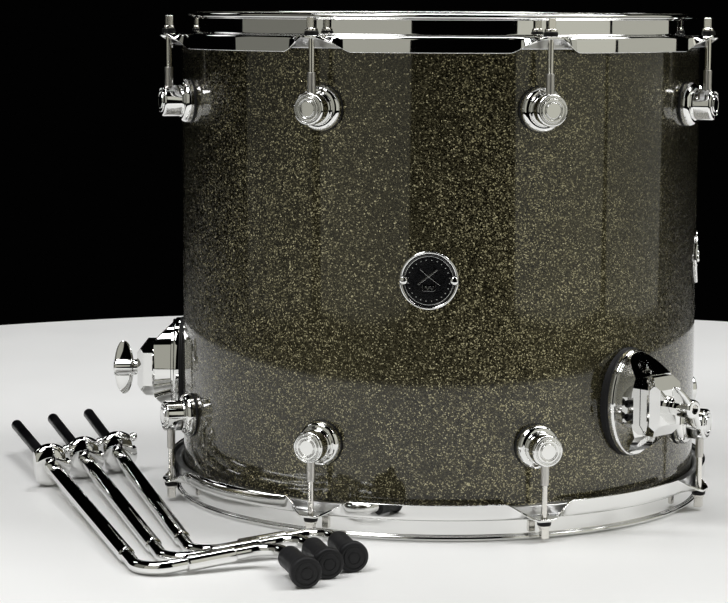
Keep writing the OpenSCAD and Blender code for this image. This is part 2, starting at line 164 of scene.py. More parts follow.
def rounded(corners, closed=False, steps=5):
    """An outline with rounded corners. A corner is (a, b) or (a, b, how far back the rounding starts)."""
    pull = 0.55
    most = 0.49
    outline = []
    count = len(corners)
    for i, corner in enumerate(corners):
        here = Vector(corner[:2])
        back = corner[2] if len(corner) > 2 else 0
        if back == 0 or (not closed and i in (0, count - 1)):
            outline.append(here)
            continue
        before = Vector(corners[i - 1][:2]) - here
        after = Vector(corners[(i + 1) % count][:2]) - here
        start = here + before.normalized() * min(back, before.length * most)
        end = here + after.normalized() * min(back, after.length * most)
        for s in range(steps + 1):
            t = s / steps
            a = start.lerp(start.lerp(here, pull), t)
            b = start.lerp(here, pull).lerp(end.lerp(here, pull), t)
            c = end.lerp(here, pull).lerp(end, t)
            outline.append(a.lerp(b, t).lerp(b.lerp(c, t), t))
    return outline


def skin(rings, around=False):
    """Faces between closed rings of equally many points, with caps unless the rings go around."""
    count = len(rings[0])
    points = [p for ring in rings for p in ring]
    faces = []
    last = len(rings) if around else len(rings) - 1
    for i in range(last):
        low = i * count
        high = ((i + 1) % len(rings)) * count
        for j in range(count):
            k = (j + 1) % count
            faces.append((low + j, low + k, high + k, high + j))
    if not around:
        faces.append(tuple(range(count))[::-1])
        faces.append(tuple(range(len(points) - count, len(points))))
    return Part(points, faces)


def lathe(outline, segments=96, closed=False, wave=None):
    """Turns an outline of (radius, distance along X) about +X. A wave changes a radius by its angle."""
    points = []
    rows = []
    for radius, along in outline:
        if radius < 1e-6:
            rows.append([len(points)] * segments)
            points.append(Vector((along, 0, 0)))
            continue
        rows.append(list(range(len(points), len(points) + segments)))
        for s in range(segments):
            angle = 2 * math.pi * s / segments
            r = radius + (wave(radius, angle) if wave else 0)
            points.append(Vector((along, r * math.cos(angle), r * math.sin(angle))))
    faces = []
    last = len(rows) if closed else len(rows) - 1
    for i in range(last):
        low = rows[i]
        high = rows[(i + 1) % len(rows)]
        for s in range(segments):
            t = (s + 1) % segments
            face = []
            for index in (low[s], low[t], high[t], high[s]):
                if index not in face:
                    face.append(index)
            if len(face) > 2:
                faces.append(tuple(face))
    return Part(points, faces)


def turned(corners, segments, steps=5, closed=False, wave=None):
    """Turns an outline with rounded corners about +X."""
    return lathe(rounded(corners, closed, steps), segments, closed, wave)


def inset(outline, depth):
    """A closed outline moved inwards along its corners' bisectors; the outline runs anticlockwise."""
    moved = []
    count = len(outline)
    for i in range(count):
        here = outline[i]
        before = (here - outline[i - 1]).normalized()
        after = (outline[(i + 1) % count] - here).normalized()
        side = Vector((-before.y - after.y, before.x + after.x))
        stretch = max(0.3, (1 + before.dot(after)) / 2)
        moved.append(here + side * 0.5 * depth / stretch)
    return moved


def slab(outline, low, high, bevel=0.4, steps=3):
    """An outline in X and Y, drawn anticlockwise, pulled along Z, with rounded edges."""
    outline = [Vector(p) for p in outline]
    layers = []
    for s in range(steps + 1):
        turn = math.pi / 2 * s / steps
        layers.append((bevel * (1 - math.sin(turn)), low + bevel * (1 - math.cos(turn))))
    layers += [(depth, low + high - z) for depth, z in reversed(layers)]
    rings = []
    for depth, z in layers:
        rings.append([Vector((p.x, p.y, z)) for p in inset(outline, depth)])
    return skin(rings)


def prism(corners, low, high):
    """Corners in X and Y, pulled along Z with sharp edges."""
    return skin([[Vector((x, y, z)) for x, y in corners] for z in (low, high)])


def box(x0, x1, y0, y1, z0, z1):
    return prism([(x0, y0), (x1, y0), (x1, y1), (x0, y1)], z0, z1)


def rod_x(radius, start, end, segments=48):
    return lathe([(0, start), (radius, start), (radius, end), (0, end)], segments)


def standing(part):
    """Turns what is drawn along +X to stand along +Z."""
    return part.moved(X_TO_Z)


def as_object(part, name="work"):
    mesh = bpy.data.meshes.new(name)
    mesh.from_pydata(part.points, [], part.faces)
    mesh.polygons.foreach_set("material_index", part.materials)
    work = bmesh.new()
    work.from_mesh(mesh)
    bmesh.ops.recalc_face_normals(work, faces=work.faces)
    work.to_mesh(mesh)
    work.free()
    thing = bpy.data.objects.new(name, mesh)
    bpy.context.scene.collection.objects.link(thing)
    return thing


def finished_mesh(thing):
    """The mesh of an object after its modifiers."""
    bpy.context.view_layer.update()
    graph = bpy.context.evaluated_depsgraph_get()
    return bpy.data.meshes.new_from_object(thing.evaluated_get(graph))


def part_of(mesh):
    part = Part([v.co for v in mesh.vertices], [f.vertices for f in mesh.polygons])
    part.materials = [f.material_index for f in mesh.polygons]
    return part


def welded(part):
    """Joins the points that lie on each other."""
    thing = as_object(part)
    work = bmesh.new()
    work.from_mesh(thing.data)
    bmesh.ops.remove_doubles(work, verts=work.verts, dist=1e-4)
    work.to_mesh(thing.data)
    work.free()
    result = part_of(thing.data)
    bpy.data.objects.remove(thing)
    return result


def shaped(part, cutters=(), adders=(), overlap=(), bevel=0, angle=35, steps=2):
    """Exact booleans on a part, then a bevel along its sharp edges."""
    target = as_object(part)
    tools = []
    for operation, others in (("UNION", adders), ("INTERSECT", overlap), ("DIFFERENCE", cutters)):
        for other in others:
            tool = as_object(other)
            tools.append(tool)
            change = target.modifiers.new("boolean", "BOOLEAN")
            change.operation = operation
            change.solver = "EXACT"
            change.object = tool
    if bevel:
        edge = target.modifiers.new("bevel", "BEVEL")
        edge.width = bevel
        edge.segments = steps
        edge.limit_method = "ANGLE"
        edge.angle_limit = math.radians(angle)
        edge.use_clamp_overlap = True
    result = part_of(finished_mesh(target))
    for thing in [target] + tools:
        bpy.data.objects.remove(thing)
    return result


def piece(name, part, body, materials, nodes):
    """Puts a part into the scene as one piece that rides on a body."""
    thing = as_object(part, name)
    thing.data.transform(Matrix.Scale(MM, 4))
    for material in materials:
        thing.data.materials.append(material)
    thing.data.polygons.foreach_set("use_smooth", [True] * len(thing.data.polygons))
    thing.data.set_sharp_from_angle(angle=math.radians(CREASE))
    weigh = thing.modifiers.new("normals", "WEIGHTED_NORMAL")
    weigh.keep_sharp = True
    mesh = finished_mesh(thing)
    thing.modifiers.clear()
    thing.data = mesh
    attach(thing, body)
    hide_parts(*nodes)


# ---- materials ----

class Recipe:
    """A node material with a Principled shader and short ways to add nodes."""

    def __init__(self, name, **values):
        self.material = bpy.data.materials.new(name)
        self.material.use_nodes = True
        self.tree = self.material.node_tree
        self.shader = self.tree.nodes["Principled BSDF"]
        for socket, value in values.items():
            self.shader.inputs[socket.replace("_", " ")].default_value = value

    def node(self, kind, inputs=(), **settings):
        made = self.tree.nodes.new(kind)
        for setting, value in settings.items():
            setattr(made, setting, value)
        for socket, value in dict(inputs).items():
            self.feed(made.inputs[socket], value)
        return made

    def feed(self, socket, value):
        if isinstance(value, bpy.types.NodeSocket):
            self.tree.links.new(value, socket)
        else:
            socket.default_value = value

    def place(self, stretch=(1, 1, 1)):
        """Object coordinates in metres, scaled along each axis."""
        coordinates = self.node("ShaderNodeTexCoord").outputs["Object"]
        return self.node("ShaderNodeMapping", {"Vector": coordinates, "Scale": stretch}).outputs["Vector"]

    def noise(self, scale, detail=4.0, roughness=0.55, stretch=(1, 1, 1)):
        inputs = {"Vector": self.place(stretch), "Scale": scale, "Detail": detail, "Roughness": roughness}
        return self.node("ShaderNodeTexNoise", inputs).outputs["Fac"]

    def spread(self, value, low, high, start=0.3, end=0.7):
        """Takes a value from start..end to low..high."""
        inputs = {"Value": value, "From Min": start, "From Max": end, "To Min": low, "To Max": high}
        return self.node("ShaderNodeMapRange", inputs).outputs["Result"]

    def mixed(self, factor, first, second):
        mix = self.node("ShaderNodeMix", data_type="RGBA")
        self.feed(mix.inputs[0], factor)
        self.feed(mix.inputs[6], first)
        self.feed(mix.inputs[7], second)
        return mix.outputs[2]

    def apply(self, kind, operation, *values):
        """A maths node on up to two values; a number after a vector scales it."""
        made = self.node(kind, operation=operation)
        sockets = [made.inputs[0], made.inputs["Scale"] if operation == "SCALE" else made.inputs[1]]
        for socket, value in zip(sockets, values):
            self.feed(socket, value)
        return made.outputs[0]

    def bump(self, height, depth_mm):
        inputs = {"Height": height, "Distance": depth_mm * MM, "Strength": 1.0}
        self.feed(self.shader.inputs["Normal"], self.node("ShaderNodeBump", inputs).outputs["Normal"])

    def set(self, socket, value):
        self.feed(self.shader.inputs[socket], value)

    def blend(self, factor, first, second):
        """The base colour, between two colours."""
        self.set("Base Color", self.mixed(factor, first, second))


def glitter_lacquer():
    """Fine metal flakes of many tilts in a brown-grey base, under a thick mirror-smooth clear coat."""
    recipe = Recipe("glitter_lacquer", Metallic=1.0, Coat_Weight=1.0, Coat_Roughness=0.05, Coat_IOR=1.5)
    cells = {"Vector": recipe.place(), "Scale": 1200.0, "Randomness": 1.0}
    flake = recipe.node("ShaderNodeTexVoronoi", cells)
    parts = recipe.node("ShaderNodeSeparateColor", {"Color": flake.outputs["Color"]})
    red, green = parts.outputs["Red"], parts.outputs["Green"]
    vectors = "ShaderNodeVectorMath"
    any_way = recipe.apply(vectors, "SUBTRACT", flake.outputs["Color"], (0.5, 0.5, 0.5))
    tilt = recipe.apply(vectors, "SCALE", any_way, 0.58)
    normal = recipe.node("ShaderNodeNewGeometry").outputs["Normal"]
    recipe.set("Normal", recipe.apply(vectors, "NORMALIZE", recipe.apply(vectors, "ADD", normal, tilt)))
    # A few flakes are bright silver, most are dark pewter, and the mix drifts slowly over the shell
    drift = recipe.spread(recipe.noise(45.0, 3.0), -0.04, 0.04)
    chance = recipe.apply("ShaderNodeMath", "ADD", red, drift)
    bright = recipe.spread(chance, 0.0, 1.0, 0.76, 1.0)
    dark = recipe.mixed(green, (0.0225, 0.020, 0.0115, 1), (0.067, 0.060, 0.034, 1))
    recipe.blend(bright, dark, (0.52, 0.475, 0.29, 1))
    recipe.set("Roughness", recipe.spread(green, 0.24, 0.38, 0.0, 1.0))
    return recipe.material


def maple():
    """Raw maple ply with fine grain that runs round the shell and pale glue lines at its edges."""
    recipe = Recipe("maple_ply", Roughness=0.55)
    grain = recipe.noise(60.0, 6.0, 0.6, stretch=(1, 1, 22))
    ply = recipe.node(
        "ShaderNodeTexWave",
        {"Vector": recipe.place(), "Scale": 110.0, "Distortion": 0.6, "Detail": 2.0},
        wave_type="RINGS", rings_direction="Z",
    ).outputs["Fac"]
    wood = recipe.mixed(grain, (0.50, 0.34, 0.19, 1), (0.68, 0.50, 0.31, 1))
    recipe.blend(recipe.spread(ply, 0.0, 0.35, 0.0, 1.0), wood, (0.36, 0.22, 0.11, 1))
    recipe.bump(grain, 0.08)
    return recipe.material


def chrome(name, wave_mm=0.0):
    """Mirror plating: faint ripple of the metal below, and smears that dull it a little."""
    recipe = Recipe(name, Base_Color=(0.80, 0.80, 0.79, 1), Metallic=1.0)
    smear = recipe.noise(28.0, 5.0, 0.6)
    recipe.set("Roughness", recipe.spread(smear, 0.012, 0.0368))
    if wave_mm:
        recipe.bump(recipe.noise(60.0, 2.0), wave_mm)
    return recipe.material


def satin_steel(name, tint, roughness):
    """Turned steel: fine rings across the part and a soft sheen."""
    recipe = Recipe(name, Base_Color=tint, Metallic=1.0)
    turning = recipe.noise(900.0, 3.0, 0.6, stretch=(0.15, 0.15, 2.2))
    recipe.set("Roughness", recipe.spread(turning, roughness, roughness + 0.12))
    recipe.bump(turning, 0.01)
    return recipe.material


def moulded_rubber(name, tint):
    """Black rubber: a dusty bloom, mottled gloss and a fine pebbled skin."""
    recipe = Recipe(name, Specular_IOR_Level=0.3)
    bloom = recipe.noise(70.0, 6.0, 0.65)
    pale = tuple(c * 2 + 0.003 for c in tint[:3]) + (1,)
    recipe.blend(recipe.spread(bloom, 0.0, 0.6, 0.35, 0.75), tint, pale)
    recipe.set("Roughness", recipe.spread(bloom, 0.42, 0.62))
    recipe.bump(recipe.noise(1500.0, 2.0), 0.03)
    return recipe.material


def coated_film():
    """White coating sprayed on film: a fine even grit with slightly uneven cover."""
    recipe = Recipe("coated_film", Roughness=0.6)
    grit = recipe.noise(1800.0, 2.0)
    cover = recipe.noise(14.0, 4.0)
    recipe.blend(recipe.spread(cover, 0, 1), (0.74, 0.74, 0.71, 1), (0.82, 0.82, 0.79, 1))
    recipe.bump(grit, 0.05)
    return recipe.material


def clear_film():
    """Clear film with a faint haze."""
    recipe = Recipe("clear_film", Base_Color=(0.9, 0.92, 0.92, 1), IOR=1.45, Transmission_Weight=0.85)
    recipe.set("Roughness", recipe.spread(recipe.noise(35.0, 4.0), 0.05, 0.12))
    return recipe.material


def black_enamel():
    """Gloss black with faint polishing haze."""
    recipe = Recipe("black_enamel", Base_Color=(0.006, 0.006, 0.007, 1), Coat_Weight=0.6, Coat_Roughness=0.03)
    recipe.set("Roughness", recipe.spread(recipe.noise(140.0, 5.0), 0.12, 0.24))
    return recipe.material


def dark_knurl():
    """Blackened steel of the leg's gripped end."""
    recipe = Recipe("black_oxide", Metallic=0.5, Specular_IOR_Level=0.2)
    worn = recipe.noise(90.0, 5.0, 0.65)
    recipe.blend(recipe.spread(worn, 0, 1, 0.4, 0.8), (0.004, 0.004, 0.005, 1), (0.022, 0.022, 0.024, 1))
    recipe.set("Roughness", recipe.spread(worn, 0.26, 0.4))
    return recipe.material


def nylon():
    """Dull black nylon with a fine grain."""
    recipe = Recipe("black_nylon", Base_Color=(0.006, 0.006, 0.006, 1), Specular_IOR_Level=0.2)
    recipe.set("Roughness", recipe.spread(recipe.noise(300.0, 3.0), 0.35, 0.5))
    recipe.bump(recipe.noise(900.0, 2.0), 0.02)
    return recipe.material


LACQUER = glitter_lacquer()
MAPLE = maple()
CHROME = chrome("chrome_plate")
HOOP_CHROME = chrome("hoop_chrome_plate", wave_mm=0.006)
NICKEL = satin_steel("nickel_steel", (0.78, 0.76, 0.72, 1), 0.07)
SATIN = satin_steel("satin_steel", (0.60, 0.585, 0.56, 1), 0.3)
ALUMINIUM = satin_steel("rolled_aluminium", (0.72, 0.72, 0.73, 1), 0.28)
RUBBER = moulded_rubber("gasket_rubber", (0.006, 0.006, 0.0065, 1))
FOOT_RUBBER = moulded_rubber("foot_rubber", (0.007, 0.007, 0.008, 1))
COATED = coated_film()
CLEAR = clear_film()
ENAMEL = black_enamel()
BLACK_STEEL = dark_knurl()
NYLON = nylon()


# ---- shell and heads ----

RIM_STAND = 9
SHELL_WALL = 7.5


def shell():
    """The ply shell: lacquered outside and over its edges, bare on its 45 degree slopes and inside."""
    low = RIM_STAND
    high = HEIGHT - RIM_STAND
    inner = SHELL_R - SHELL_WALL
    peak = 2.1
    curve = 1.6
    outside = [
        (SHELL_R - peak, low), (SHELL_R - curve, low), (SHELL_R - 0.5, low + 0.5), (SHELL_R, low + curve),
    ]
    rows = 24
    straight = [(SHELL_R, low + curve + (high - low - 2 * curve) * i / rows) for i in range(1, rows)]
    up = [(r, low + high - z) for r, z in reversed(outside)]
    slope = SHELL_WALL - peak
    inside = [(inner, high - slope), (inner, low + slope)]
    lacquered = standing(lathe(outside + straight + up, 384))
    bare = standing(lathe([up[-1]] + inside + [outside[0]], 384)).painted(1)
    vent = rod_x(5.95, -20, 10).moved(on_shell(VENT_ANGLE, BADGE_Z))
    whole = shaped(welded(lacquered + bare), cutters=[vent])
    piece("lacquered_shell", whole, SHELL_BODY, [LACQUER, MAPLE], ["shell"])


def head(name, depth, body, material, node, place):
    """A film whose collar runs down inside the flesh hoop. It is drawn on the lower rim."""
    film = 0.25
    edge = SHELL_R + 0.7
    collar = turned([
        (0, depth), (edge - 3, depth), (edge, depth + 0.1, 0.8), (edge, depth + 9, 0.4),
        (edge - 0.3, depth + 9, 0.1), (edge - 0.3, depth + film, 0.5), (edge - 3.5, depth + film),
        (0, depth + film),
    ], 256)
    piece(name, standing(collar).moved(place), body, [material], [node])


def flesh_hoop(name, top, body, node, place):
    """The aluminium ring that holds the film's edge, drawn on the lower rim."""
    inner = SHELL_R + 1
    outer = SHELL_R + 7.9
    ring = turned([
        (inner, top, 0.4), (outer, top, 0.9), (outer, 27.9, 0.9), (inner + 2, 28, 0.8), (inner, 26.5, 0.5),
    ], 256, closed=True)
    piece(name, standing(ring).moved(place), body, [ALUMINIUM], [node])


# ---- hoops ----

EAR_DEPTH = 17.4
STEEL = 2.3
SKIRT_DEPTH = 31
SKIRT_R = SHELL_R + 12
EAR_REACH = SHELL_R + 25.4
WALL_R = SHELL_R + 4.3
NOTCH_START = 6
NOTCH_END = 30


def skirt_share(t):
    """0 on an ear and 1 where the skirt hangs fully, by the distance along the rim from the lug."""
    s = min(1, max(0, (abs(t) - NOTCH_START) / (NOTCH_END - NOTCH_START)))
    return 0.4 * s + 0.6 * s * s * (3 - 2 * s)


def hoop_section(t):
    """The pressed section at a place on the rim. Its third flange turns from an ear to a hanging skirt."""
    share = skirt_share(t)
    knee = Vector((SHELL_R + 12, EAR_DEPTH))
    tip = Vector((
        SKIRT_R + (EAR_REACH - SKIRT_R) * (1 - share) ** 1.5,
        EAR_DEPTH + (SKIRT_DEPTH - EAR_DEPTH) * share,
    ))
    line = (tip - knee).normalized()
    side = Vector((-line.y, line.x)) * STEEL
    half = math.atan2(line.y, line.x) / 2
    inner_knee = Vector((knee.x - STEEL * math.tan(half), EAR_DEPTH + STEEL))
    inner_tip = tip + side
    rim = SHELL_R + 2.6
    return rounded([
        (rim, 0, 0.7), (rim + 5, 0, 2.0), (rim + 5, 4.1, 2.0), (WALL_R, 4.3, 1.0),
        (WALL_R, EAR_DEPTH, 1.7), (knee.x, knee.y, 3.3), (tip.x, tip.y, 0.6),
        (inner_tip.x, inner_tip.y, 0.6), (inner_knee.x, inner_knee.y, 1.6),
        (WALL_R - STEEL, EAR_DEPTH + STEEL, 0.5), (WALL_R - STEEL, 8.4, 0.3), (rim, 8.4, 0.3),
    ], closed=True, steps=6)


def hoop():
    """A triple-flanged hoop, drawn upwards from its rim on the floor."""
    rings = []
    fine = 60
    coarse = 14
    span = NOTCH_END + 3
    step = 360 / LUG_COUNT
    edge = math.degrees(span / SKIRT_R)
    for lug in LUG_ANGLES:
        places = [-edge + 2 * edge * i / fine for i in range(fine + 1)]
        places += [edge + (step - 2 * edge) * i / coarse for i in range(1, coarse)]
        for offset in places:
            t = math.radians(offset) * SKIRT_R
            turn = turn_z(lug + offset - 90)
            rings.append([turn @ Vector((r, 0, z)) for r, z in hoop_section(t)])
    holes = [
        standing(rod_x(3, -3, 3, 32)).moved(on_shell(a, EAR_DEPTH) @ shift(ROD_OFFSET, 0, 0))
        for a in LUG_ANGLES
    ]
    return shaped(skin(rings, around=True), cutters=holes)


# ---- tension rods ----

def flange_lobes(radius, angle):
    """Four soft lobes round the rod head's flange, under the corners of its square."""
    return 0.32 * math.cos(4 * angle + math.pi) if radius > 4.2 else 0


def tension_rod():
    """A square-headed rod, drawn upwards from the rim's plane at the lug's rod axis."""
    seat = EAR_DEPTH - 3.55
    end = LUG_LOW + 6
    half = 3.175
    corners = [(x * half, y * half, 0.6) for x, y in ((-1, -1), (1, -1), (1, 1), (-1, 1))]
    drive = slab(rounded(corners, closed=True, steps=3), 3, seat - 1.6, 0.5)
    flange = standing(turned([
        (0, seat - 2.7), (3.9, seat - 2.7, 0.6), (4.9, seat - 1.5, 0.5), (5.0, seat, 0.25), (0, seat),
    ], 64, steps=3, wave=flange_lobes))
    pitch = 25.4 / 24
    plain = 38
    rod_r = 2.5
    outline = [(0, seat - 1), (rod_r, seat - 1), (rod_r, plain)]
    outline += [(rod_r - 0.35, end), (rod_r - 0.9, end + 0.6), (0, end + 0.6)]
    core = standing(lathe(outline, 32))
    return drive + flange + core + thread(rod_r, pitch, plain, end)


def thread(radius, pitch, start, end, depth=0.32, segments=20, steps=4):
    """A helical screw thread round +Z, closed at both ends."""
    rings = []
    count = int((end - start) / pitch * steps)
    for i in range(count + 1):
        z = start + (end - start) * i / count
        fade = min(1, i / steps, (count - i) / steps)
        ring = []
        for s in range(segments):
            phase = (z / pitch - s / segments) % 1
            r = radius - depth * fade * (1 - abs(2 * phase - 1)) - 0.01
            angle = 2 * math.pi * s / segments
            ring.append(Vector((r * math.cos(angle), r * math.sin(angle), z)))
        rings.append(ring)
    return skin(rings)


def washer():
    """A nylon washer under a rod's head."""
    top = EAR_DEPTH
    low = top - 3.5
    corners = [(2.85, low, 0.2), (5.6, low, 0.6), (6.0, top, 0.5), (2.85, top, 0.2)]
    return standing(turned(corners, 48, steps=3, closed=True))


# ---- lugs ----

LUG_SEAT = 1.2
LUG_FACE = 26.8


def lug():
    """A turret lug along +X: flange, groove, nose and stepped rings on its face. Its mouth is at +Z."""
    face = LUG_FACE
    casting = turned([
        (0, LUG_SEAT), (18.3, LUG_SEAT, 0.3), (18.5, 4.8, 1.0), (17.2, 7.8, 1.3), (15.4, 8.8, 0.5),
        (13.7, 9.0, 0.3), (13.5, 9.9, 0.3), (13.2, 10.5, 0.3), (13.2, face - 2.6, 0.5),
        (12.3, face - 1.2, 0.6), (10.9, face - 1.0, 0.3), (10.5, face - 1.9, 0.3), (9.8, face - 1.9, 0.3),
        (9.4, face - 0.3, 0.4),
        (7.6, face - 0.3, 0.4), (7.2, face - 1.1, 0.3), (6.6, face - 1.1, 0.3), (6.2, face, 0.4), (0, face),
    ], 128, steps=4)
    mouth = standing(rod_x(3.75, -8.8, 20, 48)).moved(shift(ROD_OFFSET, 0, 0))
    return shaped(casting, cutters=[mouth])


def receiver():
    """The swivel nut's tube, open at its upper end, where the rod screws in."""
    tube = turned([
        (2.55, 28.8, 0.15), (3.3, 28.8, 0.3), (3.5, 27.6, 0.4), (3.5, -8.6, 0.3), (2.55, -8.6, 0.2),
    ], 48, steps=3, closed=True)
    return standing(tube).moved(shift(ROD_OFFSET, 0, 0))


def shell_drop(point):
    """How far outside its flat tangent plane the shell's surface lies, at a local point."""
    return math.sqrt(SHELL_R ** 2 - point.y ** 2) - SHELL_R


def on_curve(part):
    """Lays the points that are below zero onto the shell's curved surface."""
    return part.bent(lambda p: Vector((shell_drop(p) + 0.02, p.y, p.z)) if p.x < 0 else p)


def lug_gasket():
    """A thin seat under a lug, shaped to the shell."""
    return on_curve(lathe(rounded([
        (3.2, LUG_SEAT), (18.6, LUG_SEAT, 0.4), (18.9, 0.6, 0.3), (18.9, -1), (3.2, -1),
    ], steps=3) + [Vector((3.2, LUG_SEAT))], 96))


def inner_screw(reach, washer_r, head_r, head_h):
    """A screw from inside the shell with its washer, drawn along +X."""
    seat = -SHELL_WALL - reach
    top = seat - 1.4
    end = top - head_h
    return turned([
        (0, 7.5), (2.6, 7.5, 0.3), (2.9, 6.5, 0.3), (2.9, seat, 0.1), (washer_r, seat, 0.3),
        (washer_r, top, 0.3), (head_r, top, 0.2), (head_r, end, 1.2), (head_r - 2.2, end, 0.3),
        (head_r - 2.6, end + 1.5, 0.2), (0, end + 1.5),
    ], 48, steps=3)


# ---- badges and vent ----

RIVET_SIDE = 20.28


def wrapped(part):
    """Bends what is drawn on the tangent plane round the shell."""
    def rule(p):
        angle = p.y / SHELL_R
        r = SHELL_R + p.x
        return Vector((r * math.cos(angle) - SHELL_R, r * math.sin(angle), p.z))
    return part.bent(rule)


def stick(length):
    """A drumstick's outline, along +X from its butt."""
    corners = [
        (0, -0.55, 0.3), (length * 0.72, -0.5, 1.0), (length - 1.6, -0.26, 0.3), (length - 0.7, -0.5, 0.3),
        (length, -0.2, 0.2), (length, 0.2, 0.2), (length - 0.7, 0.5, 0.3), (length - 1.6, 0.26, 0.3),
        (length * 0.72, 0.5, 1.0), (0, 0.55, 0.3),
    ]
    return rounded(corners, closed=True, steps=3)


def facing(part, turn=0, across=0, up=0, out=0):
    """Lays what is drawn in X and Y onto the shell's tangent plane, turned and shifted."""
    lay = Matrix(((0, 0, 1, out), (1, 0, 0, across), (0, 1, 0, up), (0, 0, 0, 1)))
    return part.moved(lay @ turn_z(turn))


def badge():
    """A black disc with a bright rim, a thin ring, and a motif of crossed sticks over a drum."""
    rim_r = 23.8
    plate_r = 21.6
    plate = turned([
        (0, 0.02), (plate_r, 0.02), (plate_r, 1.5), (20.6, 1.5, 0.2), (20.3, 1.25, 0.2), (0, 1.25),
    ], 128, steps=3)
    rim = turned([
        (plate_r, 0.02), (rim_r, 0.02, 0.1), (rim_r, 1.3, 0.5), (23.0, 2.0, 0.5), (22.2, 2.0, 0.4),
        (plate_r, 1.4, 0.2),
    ], 128, steps=4, closed=True)
    band = [(19.3, 1.1), (19.75, 1.1), (19.75, 1.5, 0.15), (19.3, 1.5, 0.15)]
    raised = [turned(band, 128, steps=2, closed=True)]
    for side in (-1, 1):
        one = slab(stick(20), 1.1, 1.62, 0.15, 2)
        centred = one.moved(shift(-11, 0, 0))
        raised.append(facing(centred, turn=90 + side * 52, up=3.4))
    drum = rounded([(-5.2, -8.6, 1.5), (5.2, -8.6, 1.5), (5.2, -3.4, 0.5), (-5.2, -3.4, 0.5)], closed=True)
    hollow = rounded([(-4.6, -7.6, 1.2), (4.6, -7.6, 1.2), (4.6, -4.6, 0.4), (-4.6, -4.6, 0.4)], closed=True)
    raised.append(facing(shaped(slab(drum, 1.1, 1.6, 0.12, 2), cutters=[slab(hollow, 0, 3, 0.05, 1)])))
    for i in range(5):
        lean = 1 if i % 2 else -1
        strut = slab([(-0.22, -1.9), (0.22, -1.9), (0.22, 1.9), (-0.22, 1.9)], 1.1, 1.5, 0.08, 1)
        raised.append(facing(strut, turn=lean * 22, across=-3.4 + i * 1.7, up=-6.1))
    dot = turned([(0, 1.1), (0.42, 1.1), (0.42, 1.45, 0.2), (0, 1.5)], 16, steps=2)
    for i in range(24):
        angle = math.radians(i * 15 + 7.5)
        raised.append(dot.moved(shift(0, 16.6 * math.cos(angle), 16.6 * math.sin(angle))))
    return plate, rim, joined(raised)


def rivet():
    return turned([
        (0, 1.2), (1.5, 1.2), (1.5, 2.0), (3.4, 2.02, 0.2), (3.3, 3.0, 0.5), (2.4, 3.9, 0.8), (0, 4.1),
    ], 48)


def grommet():
    """The eyelet that lines the vent, flared outside and straight inside."""
    return turned([
        (4, -SHELL_WALL - 1.8, 0.3), (5.9, -SHELL_WALL - 1.8, 0.3), (5.9, 0.3), (9, 0.3, 0.2), (9, 1.0, 0.4),
        (7.4, 2.1, 0.9), (5.4, 2.2, 0.8), (4, 1.2, 0.7),
    ], 64, steps=4, closed=True)


# ---- leg brackets ----

GASKET_R = 45.7
OVAL_END = 43
OVAL_SIDE = 28.8
BODY_MID = -8.4
DISH_SEAT = 3.2
SEAM = 10.6
BODY_END = 26.3
ROOF = 51
NOSE_SEAT = 27
NOSE_FACE = 42.1
NOSE_SIDE = -5.2
NUT_END = 63.7
LEG_OFFSET = 20.5
LEG_SIDE = -12
LEG_BORE = 5.3
SLOT_SIDE = -20.4
SLOT_END = -4.5
GAP = 0.3
JAW = 24
ROOF_FILL = 25.3
WINDOW_SEAT = 17.3
WINDOW_FLOOR = -33.3
STUD_R = 4
NUT_TURNS = [38, 0, 0]


def oval(part):
    """Narrows what is turned round +X to the bracket's upright oval, and moves it to its middle."""
    def rule(p):
        r = math.hypot(p.y, p.z)
        if r < 1e-6:
            return Vector((p.x, BODY_MID, 0))
        side = (OVAL_END - OVAL_SIDE) * min(1, r / OVAL_END)
        return Vector((p.x, p.y * (r - side) / r + BODY_MID, p.z))
    return part.bent(rule)


def bracket_gasket():
    """A rubber seat with two lips, shaped to the shell."""
    r = GASKET_R
    flat = oval(turned([
        (0, DISH_SEAT), (r - 2.4, DISH_SEAT), (r - 1.6, 3.9, 0.4), (r - 0.8, 3.6, 0.4), (r - 0.6, 2.6, 0.3),
        (r - 1.0, 2.2, 0.2), (r - 0.1, 1.7, 0.4), (r, 0.6, 0.3), (r - 0.6, 0.2, 0.2), (r, -1), (0, -1),
    ], 160, steps=3))
    return on_curve(flat)


def leg_channel():
    """The leg's channel with ribs along it, as a cutter."""
    steps = 20 * 4
    points = []
    for i in range(steps):
        angle = 2 * math.pi * i / steps
        r = LEG_BORE + (0.6 if i % 4 in (1, 2) else 0)
        points.append((LEG_OFFSET + r * math.cos(angle), LEG_SIDE + r * math.sin(angle)))
    return prism(points, -60, 60)


def side_prism(outline, half):
    """An outline in X and Z, pulled along Y to both sides."""
    to_side = Matrix(((1, 0, 0, 0), (0, 0, -1, 0), (0, 1, 0, 0), (0, 0, 0, 1)))
    return skin([[to_side @ Vector((x, z, w)) for x, z in outline] for w in (-half, half)])


def bracket_roof(start):
    """The two 45 degree slopes that cut the oval above and below, as a solid to keep."""
    end = BODY_END + 1
    start -= 1
    corners = [(start, start - ROOF), (end, end - ROOF), (end, ROOF - end), (start, ROOF - start)]
    return side_prism(corners, 60)


def oval_body(start):
    """The bracket's body, with the slight draft of a casting."""
    return oval(lathe([(0, start), (OVAL_END, start), (OVAL_END - 1, BODY_END), (0, BODY_END)], 192))


